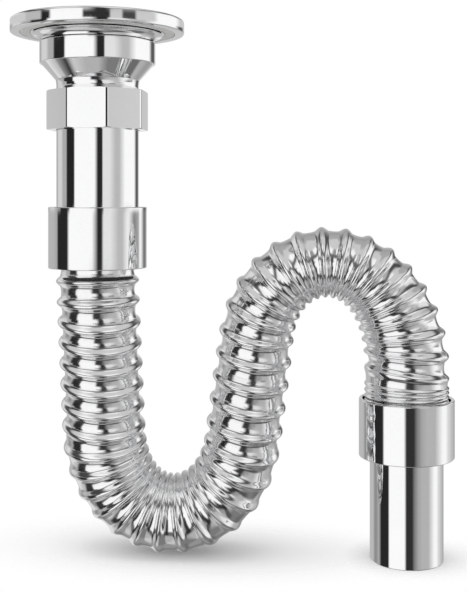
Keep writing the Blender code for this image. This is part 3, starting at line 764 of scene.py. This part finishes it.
def rib_valleys(start, end, count, shift=0):
    """Lengths of the valleys of a run of ribs: closer in the bends, and moved along in the run's middle."""
    step = (end - start) / RIB_SAMPLES
    sharpest = ARCH_TURN / min(TRAP_LENGTH, ARCH_LENGTH) * (1 + BEND_EASE)
    weights = [0]
    for index in range(RIB_SAMPLES):
        near = start + index * step
        bend = abs(heading(near + step) - heading(near)) / step
        weights.append(weights[-1] + 1 + RIB_CLOSING * bend / sharpest)
    valleys = []
    index = 0
    for rib in range(count + 1):
        wanted = weights[-1] * rib / count
        while index < RIB_SAMPLES - 1 and weights[index + 1] < wanted:
            index += 1
        share = (wanted - weights[index]) / (weights[index + 1] - weights[index])
        valleys.append(start + (index + share) * step)
    return [place + shift * math.sin(math.pi * (place - start) / (end - start)) for place in valleys]


def valley_radius(along):
    """Radius between the ribs: the tight ribs at the outlet end are shallow."""
    return RIB_VALLEY if along < TIGHT_START - MERGE_DISTANCE else CREST_RADIUS - TIGHT_DEPTH


def front_tip(along):
    """How far the ribs of the two upright legs tip down at the front."""
    down, up = leg_shares(along)
    return DOWN_TIP * down - RISER_TIP * up


def rib_half_width(near, far):
    return min(RIB_HALF_WIDTH, RIB_WIDEST * (far - near))


def rib_height(away, half, cell):
    """Share of a rib's height at a distance from its crest: a round bead on a broad swell."""
    bead = math.cos(math.pi / 2 * min(away / half, 1)) ** RIB_ROUNDNESS
    swell = math.cos(math.pi / 2 * away / cell) ** 2
    return (1 - RIB_SWELL) * bead + RIB_SWELL * swell


def rib_section(near, far):
    """Outline points (length, radius) of one round-backed rib, from its first valley up to its last."""
    middle = (near + far) / 2
    cell = (far - near) / 2
    half = rib_half_width(near, far)
    count = RIB_STATIONS if far - near > 2 * TIGHT_PITCH else TIGHT_STATIONS
    valley = [half + (cell - half) * (step + 1) / VALLEY_STATIONS for step in range(VALLEY_STATIONS)]
    places = [-away for away in reversed(valley)]
    places += [half * (2 * step / count - 1) for step in range(count + 1)]
    places += valley[:-1]
    points = []
    for place in places:
        floor = valley_radius(near if place < 0 else far)
        points.append((middle + place, floor + (CREST_RADIUS - floor) * rib_height(abs(place), half, cell)))
    return points


def own_width(along, valleys, stretch):
    """Length at which a point of a rib lies, as the rib keeps its width where bending stretches the pipe."""
    place = bisect.bisect(valleys, along)
    if place == 0 or place == len(valleys):
        return along
    near, far = valleys[place - 1], valleys[place]
    middle = (near + far) / 2
    cell = (far - near) / 2
    half = rib_half_width(near, far)
    kept = min(half / stretch ** RIB_STIFFNESS, RIB_WIDEST * 2 * cell)
    away = abs(along - middle)
    if away < half:
        moved = away * kept / half
    else:
        moved = cell - (cell - away) * (cell - kept) / (cell - half)
    return middle + math.copysign(moved, along - middle)


def squeezed_height(radius, bend, stretch):
    """Radius of a point of a rib once the bend has crowded the ribs together or pulled them flat."""
    if not RIB_VALLEY - MERGE_DISTANCE < radius < CREST_RADIUS:
        return radius
    depth = CREST_RADIUS - RIB_VALLEY
    height = min(max((radius - RIB_VALLEY) / depth, 0), 1)
    if stretch < 1:
        fall = (1 - height ** stretch) * stretch ** RIB_SHALLOWING
    elif bend > 0:
        fall = (1 - height) / stretch ** RIB_PULLING
    else:
        fall = 1 - height
    return CREST_RADIUS - depth * fall


def bent(bm, valleys):
    """Bend a straight pipe that hangs from the origin along the route, and squeeze and tip its sections."""
    for vert in bm.verts:
        along = -vert.co.z
        squeeze = flattening(along)
        bend = (heading(along + BEND_REACH) - heading(along - BEND_REACH)) / (2 * BEND_REACH)
        stretch = 1 - bend * vert.co.x * (1 - squeeze)
        radius = math.hypot(vert.co.x, vert.co.y)
        fuller = squeezed_height(radius, bend, stretch) / radius
        across = fuller * vert.co.y * (1 + SIDE_SWELL * squeeze)
        out = fuller * vert.co.x * (1 - squeeze)
        along = own_width(along, valleys, stretch)
        angle = heading(along)
        forward = Vector((math.cos(angle), 0, math.sin(angle)))
        outward = Vector((-math.sin(angle), 0, math.cos(angle)))
        tipped = out * math.tan(rib_lean(along)) - across * math.tan(front_tip(along))
        vert.co = path_point(along) + outward * out + forward * tipped + Vector((0, across, 0))
    return bm


def pipe_piece(name, outside, bore, valleys, nodes):
    """One half of the pipe, spun from its outline, bent along the route and put in place of two parts."""
    outline = [(radius, -along) for along, radius in outside]
    outline += [(PIPE_BORE, -along) for along in reversed(bore)]
    bm = bmesh.new()
    verts = [bm.verts.new((radius, 0, height)) for radius, height in outline]
    for index in range(len(verts)):
        bm.edges.new((verts[index - 1], verts[index]))
    bmesh.ops.spin(bm, geom=bm.verts[:] + bm.edges[:], cent=(0, 0, 0), axis=(0, 0, 1), angle=math.tau,
                   steps=PIPE_SIDES, use_merge=True)
    piece = add_piece(name, bent(bm, valleys), PIPE_METAL, even=False)
    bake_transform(piece)
    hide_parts(*nodes)


def ribbed_pipe():
    valleys = rib_valleys(INLET_CUFF, TRAP_BOTTOM, DOWN_RIBS)
    valleys += rib_valleys(TRAP_BOTTOM, ARCH_JOIN, RISER_RIBS, RISER_RIB_SHIFT)[1:]
    valleys += rib_valleys(ARCH_JOIN, TIGHT_START, OUTLET_RIBS)[1:]
    valleys += [TIGHT_START + (rib + 1) * TIGHT_PITCH for rib in range(TIGHT_RIBS)]
    halves = DOWN_RIBS + RISER_PIECE_RIBS
    bead = [(0, BEAD_RADIUS), (BEAD_HEIGHT, BEAD_RADIUS), (BEAD_HEIGHT, VALLEY_RADIUS)]
    cuff = [(valleys[-1], valley_radius(valleys[-1])), (valleys[-1], VALLEY_RADIUS),
            (PIPE_LENGTH, VALLEY_RADIUS)]
    lower, upper = [], []
    for index in range(len(valleys) - 1):
        points = rib_section(valleys[index], valleys[index + 1])
        if index < halves:
            lower += points
        else:
            upper += points
    split = (valleys[halves], VALLEY_RADIUS)
    pipe_piece("trap_pipe", bead + lower + [split], [0] + valleys[:halves + 1], valleys,
               ["hose_down", "hose_riser"])
    pipe_piece("arch_pipe", upper + cuff, valleys[halves:] + [PIPE_LENGTH], valleys,
               ["hose_riser", "hose_outlet"])


# Camera, studio and floor

def camera():
    data = bpy.data.cameras.new("camera")
    data.sensor_width = SENSOR
    data.lens = SENSOR * FOCAL_PIXELS / FRAME_HEIGHT
    data.shift_y = -DROP_PIXELS / FRAME_HEIGHT
    item = bpy.data.objects.new("camera", data)
    item.location = CAMERA_PLACE
    item.rotation_euler = (math.pi / 2, 0, CAMERA_YAW)
    bpy.context.scene.collection.objects.link(item)
    bpy.context.scene.camera = item


# Studio walls as (from, to, brightness): degrees round the drain's axis from the front, left to right
FLOOR_WALLS = [(-180, -140, 0.30), (-115, -78, 0.60), (-45, 15, 0.45), (60, 120, 0.20), (150, 180, 0.30)]
SKIRT_WALLS = [(-180, -160, 0.20), (-140, -110, 0.30), (-92, -64, 0.03), (-56, -16, 0.14), (-6, 14, 0.02),
               (30, 66, 0.08), (90, 104, 0.20), (120, 140, 0.15), (160, 180, 0.20)]
UNDER_WALLS = [(-180, -172, 0.30), (-160, -130, 0.75), (-116, -104, 0.55), (-92, -64, 0.03), (-59, -13, 0.95),
               (-6, 12, 0.03), (24, 36, 0.32), (46, 66, 0.44), (90, 104, 0.90), (120, 140, 0.45),
               (156, 180, 0.30)]
LOW_WALLS = [(-180, -172, 0.50), (-165, -134, 0.50), (-123, -114, 0.28), (-104, -101, 0.40), (-92, -64, 0.02),
             (-60, -12, 1.0), (-6, 12, 0.03), (21, 22, 0.24), (32, 34, 0.40), (44, 66, 0.46), (90, 102, 0.97),
             (112, 116, 0.70), (130, 140, 0.52), (152, 160, 0.35), (172, 180, 0.50)]
SLEEVE_WALLS = [(-180, -172, 0.85), (-149, -115, 0.48), (-102, -99, 0.42), (-93, -64, 0.02), (-58, -3, 1.0),
                (11, 19.4, 0.02), (24, 39, 0.80), (59, 69, 0.50), (82, 87, 0.86), (103, 106, 0.24),
                (115, 119, 0.36), (126, 130, 0.93), (146, 153, 0.18), (163, 167, 0.35), (174, 180, 0.85)]
TUBE_WALLS = [(-180, -172, 0.60), (-165, -141, 0.42), (-131, -111, 0.66), (-101, -88, 0.42),
              (-83, -59, 0.018), (-55, 1.5, 1.0), (10.5, 22.4, 0.02), (25, 43, 0.78), (61, 73, 0.50),
              (93, 133, 1.0), (146, 161, 0.10), (169, 180, 0.60)]
RIM_WALLS = [(-180, -99, 0.62), (-93, -69, 0.50), (-65, -55, 0.02), (-51, -10, 1.0), (-7, 25, 0.03),
             (28, 41, 0.60), (44, 59, 0.06), (63, 89, 0.62), (97, 136, 1.0), (151, 180, 0.6)]
OVER_WALLS = [(-180, -158, 0.45), (-140, -108, 0.75), (-92, -68, 0.05), (-56, -4, 0.92), (9, 20, 0.04),
              (32, 78, 0.46), (90, 130, 0.80), (146, 154, 0.20), (164, 180, 0.45)]
EDGE_WALLS = [(-180, -160, 0.35), (-140, -70, 0.06), (-50, 60, 0.14), (80, 140, 0.06), (160, 180, 0.35)]
CEILING_WALLS = [(-180, -145, 0.40), (-125, -85, 0.60), (-60, -28, 1.0), (-12, 12, 0.30), (28, 60, 0.95),
                 (85, 125, 0.60), (145, 180, 0.40)]
ZENITH_WALLS = [(-180, 180, 0.62)]
# Lowest and highest elevation of each set of walls, in degrees
STUDIO = [(-90, -60, FLOOR_WALLS), (-50, -41, SKIRT_WALLS), (-36, -23, UNDER_WALLS), (-19.5, -11, LOW_WALLS),
          (-2.5, -0.8, SLEEVE_WALLS), (-0.4, 9.1, TUBE_WALLS), (9.3, 10.7, RIM_WALLS), (13.5, 22, OVER_WALLS),
          (32, 37, EDGE_WALLS), (47, 60, CEILING_WALLS), (70, 90, ZENITH_WALLS)]


def wall_ramp(tree, walls, around):
    """Colour ramp of the studio walls, soft between one wall and the next."""
    ramp = node(tree, "ShaderNodeValToRGB")
    stops = ramp.color_ramp.elements
    places = []
    for start, end, brightness in walls:
        places += [(start, brightness), (end, brightness)]
    for index, (degrees, brightness) in enumerate(places):
        stop = stops[index] if index < 2 else stops.new(1)
        stop.position = (degrees + 180) / 360
        stop.color = (brightness, brightness, brightness, 1)
    tree.links.new(around, ramp.inputs["Fac"])
    return ramp.outputs["Color"]


def blend_by_height(tree, height, low, high, below, above):
    """Mix two colours by elevation in degrees, softly from one height to another."""
    share = node(tree, "ShaderNodeMapRange", interpolation_type="SMOOTHSTEP", From_Min=math.radians(low),
                 From_Max=math.radians(high))
    mix = node(tree, "ShaderNodeMix", data_type="RGBA")
    tree.links.new(height, share.inputs["Value"])
    tree.links.new(share.outputs["Result"], mix.inputs["Factor"])
    tree.links.new(below, mix.inputs["A"])
    tree.links.new(above, mix.inputs["B"])
    return mix.outputs["Result"]


def studio_walls(tree):
    """Colour of the studio's walls by direction: round the drain's axis, and by elevation."""
    place = node(tree, "ShaderNodeTexCoord")
    parts = node(tree, "ShaderNodeSeparateXYZ")
    back = node(tree, "ShaderNodeMath", operation="MULTIPLY")
    back.inputs[1].default_value = -1
    azimuth = node(tree, "ShaderNodeMath", operation="ARCTAN2")
    height = node(tree, "ShaderNodeMath", operation="ARCSINE")
    around = node(tree, "ShaderNodeMapRange", From_Min=-math.pi, From_Max=math.pi)
    tree.links.new(place.outputs["Generated"], parts.inputs[0])
    tree.links.new(parts.outputs["Y"], back.inputs[0])
    tree.links.new(parts.outputs["X"], azimuth.inputs[0])
    tree.links.new(back.outputs[0], azimuth.inputs[1])
    tree.links.new(parts.outputs["Z"], height.inputs[0])
    tree.links.new(azimuth.outputs[0], around.inputs["Value"])
    walls = wall_ramp(tree, STUDIO[0][2], around.outputs["Result"])
    for (_, top_below, _), (low, _, bands) in zip(STUDIO, STUDIO[1:]):
        ramp = wall_ramp(tree, bands, around.outputs["Result"])
        walls = blend_by_height(tree, height.outputs[0], top_below, low, walls, ramp)
    return walls


def studio():
    """White all round, with the walls and gaps that polished metal mirrors."""
    world = bpy.data.worlds.new("studio")
    bpy.context.scene.world = world
    world.use_nodes = True
    tree = world.node_tree
    tree.nodes.clear()
    rays = node(tree, "ShaderNodeLightPath")
    plain = node(tree, "ShaderNodeBackground", Color=(1, 1, 1, 1), Strength=WORLD_LEVEL)
    white = node(tree, "ShaderNodeBackground", Color=(1, 1, 1, 1), Strength=1.0)
    mirrored = node(tree, "ShaderNodeBackground")
    level = node(tree, "ShaderNodeMapRange", From_Min=0.0, From_Max=1.0, To_Min=1.0, To_Max=SHADOW_LEVEL)
    tree.links.new(rays.outputs["Diffuse Depth"], level.inputs["Value"])
    tree.links.new(level.outputs["Result"], mirrored.inputs["Strength"])
    tree.links.new(studio_walls(tree), mirrored.inputs["Color"])
    seen = node(tree, "ShaderNodeMath", operation="MAXIMUM")
    tree.links.new(rays.outputs["Is Camera Ray"], seen.inputs[0])
    tree.links.new(rays.outputs["Is Transmission Ray"], seen.inputs[1])
    lit = node(tree, "ShaderNodeMixShader")
    tree.links.new(seen.outputs[0], lit.inputs["Fac"])
    tree.links.new(plain.outputs[0], lit.inputs[1])
    tree.links.new(white.outputs[0], lit.inputs[2])
    whole = node(tree, "ShaderNodeMixShader")
    tree.links.new(rays.outputs["Is Glossy Ray"], whole.inputs["Fac"])
    tree.links.new(lit.outputs[0], whole.inputs[1])
    tree.links.new(mirrored.outputs[0], whole.inputs[2])
    output = node(tree, "ShaderNodeOutputWorld")
    tree.links.new(whole.outputs[0], output.inputs["Surface"])


def overhead_lamp():
    data = bpy.data.lights.new("overhead", "AREA")
    data.size = LAMP_SIZE
    data.energy = LAMP_POWER
    lamp = bpy.data.objects.new("overhead", data)
    lamp.location = LAMP_PLACE
    lamp.visible_glossy = False
    bpy.context.scene.collection.objects.link(lamp)


def floor_material(level):
    """Pale matt floor with two shaded ovals, clear round them."""
    material, tree, shader = start_material("pale_floor")
    shader.inputs["Base Color"].default_value = FLOOR_COLOUR
    shader.inputs["Roughness"].default_value = FLOOR_ROUGHNESS
    shader.inputs["Specular IOR Level"].default_value = 0
    place = node(tree, "ShaderNodeTexCoord")
    nearest = node(tree, "ShaderNodeMath", operation="MINIMUM")
    for index, (middle, reach) in enumerate(SHADES):
        oval = node(tree, "ShaderNodeMapping", vector_type="TEXTURE", Location=(*middle, level),
                    Scale=(*reach, 1))
        away = node(tree, "ShaderNodeVectorMath", operation="LENGTH")
        tree.links.new(place.outputs["Object"], oval.inputs["Vector"])
        tree.links.new(oval.outputs["Vector"], away.inputs[0])
        tree.links.new(away.outputs["Value"], nearest.inputs[index])
    fade = node(tree, "ShaderNodeMapRange", interpolation_type="SMOOTHSTEP", From_Min=0.0, From_Max=1.0)
    clear = node(tree, "ShaderNodeBsdfTransparent")
    white = node(tree, "ShaderNodeEmission", Color=(1, 1, 1, 1), Strength=1.0)
    rays = node(tree, "ShaderNodeLightPath")
    lift = node(tree, "ShaderNodeMath", operation="MULTIPLY")
    lift.inputs[1].default_value = FLOOR_LIFT
    lifted = node(tree, "ShaderNodeMixShader")
    mix = node(tree, "ShaderNodeMixShader")
    tree.links.new(rays.outputs["Is Camera Ray"], lift.inputs[0])
    tree.links.new(lift.outputs[0], lifted.inputs["Fac"])
    tree.links.new(shader.outputs[0], lifted.inputs[1])
    tree.links.new(white.outputs[0], lifted.inputs[2])
    tree.links.new(nearest.outputs[0], fade.inputs["Value"])
    tree.links.new(fade.outputs["Result"], mix.inputs["Fac"])
    tree.links.new(lifted.outputs[0], mix.inputs[1])
    tree.links.new(clear.outputs[0], mix.inputs[2])
    tree.links.new(mix.outputs[0], tree.nodes["Material Output"].inputs["Surface"])
    return material


def floor():
    """Floor that both the trap's lowest rib and the outlet's end touch, with the object's shadow on it."""
    low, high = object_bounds()
    bm = bmesh.new()
    slope = math.atan2(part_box("hose_down")[0].z - low[2], high[0] - path_point(TRAP_BOTTOM).x)
    place = Matrix.Translation((high[0], 0, low[2] - FLOOR_DROP)) @ Matrix.Rotation(slope, 4, "Y")
    bmesh.ops.create_circle(bm, cap_ends=True, segments=FLOOR_STEPS, radius=FLOOR_RADIUS, matrix=place)
    mesh = bpy.data.meshes.new("floor")
    bm.to_mesh(mesh)
    bm.free()
    item = bpy.data.objects.new("floor", mesh)
    bpy.context.scene.collection.objects.link(item)
    item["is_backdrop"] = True
    item.visible_glossy = False
    mesh.materials.append(floor_material(low[2]))


camera()
studio()
overhead_lamp()
floor()
drain_flange()
strainer()
back_washer()
waste_body()
union_nut()
threads()
inlet_tube()
inlet_sleeve()
inner_rings()
ribbed_pipe()
outlet()

bpy.context.scene.view_settings.view_transform = "Standard"
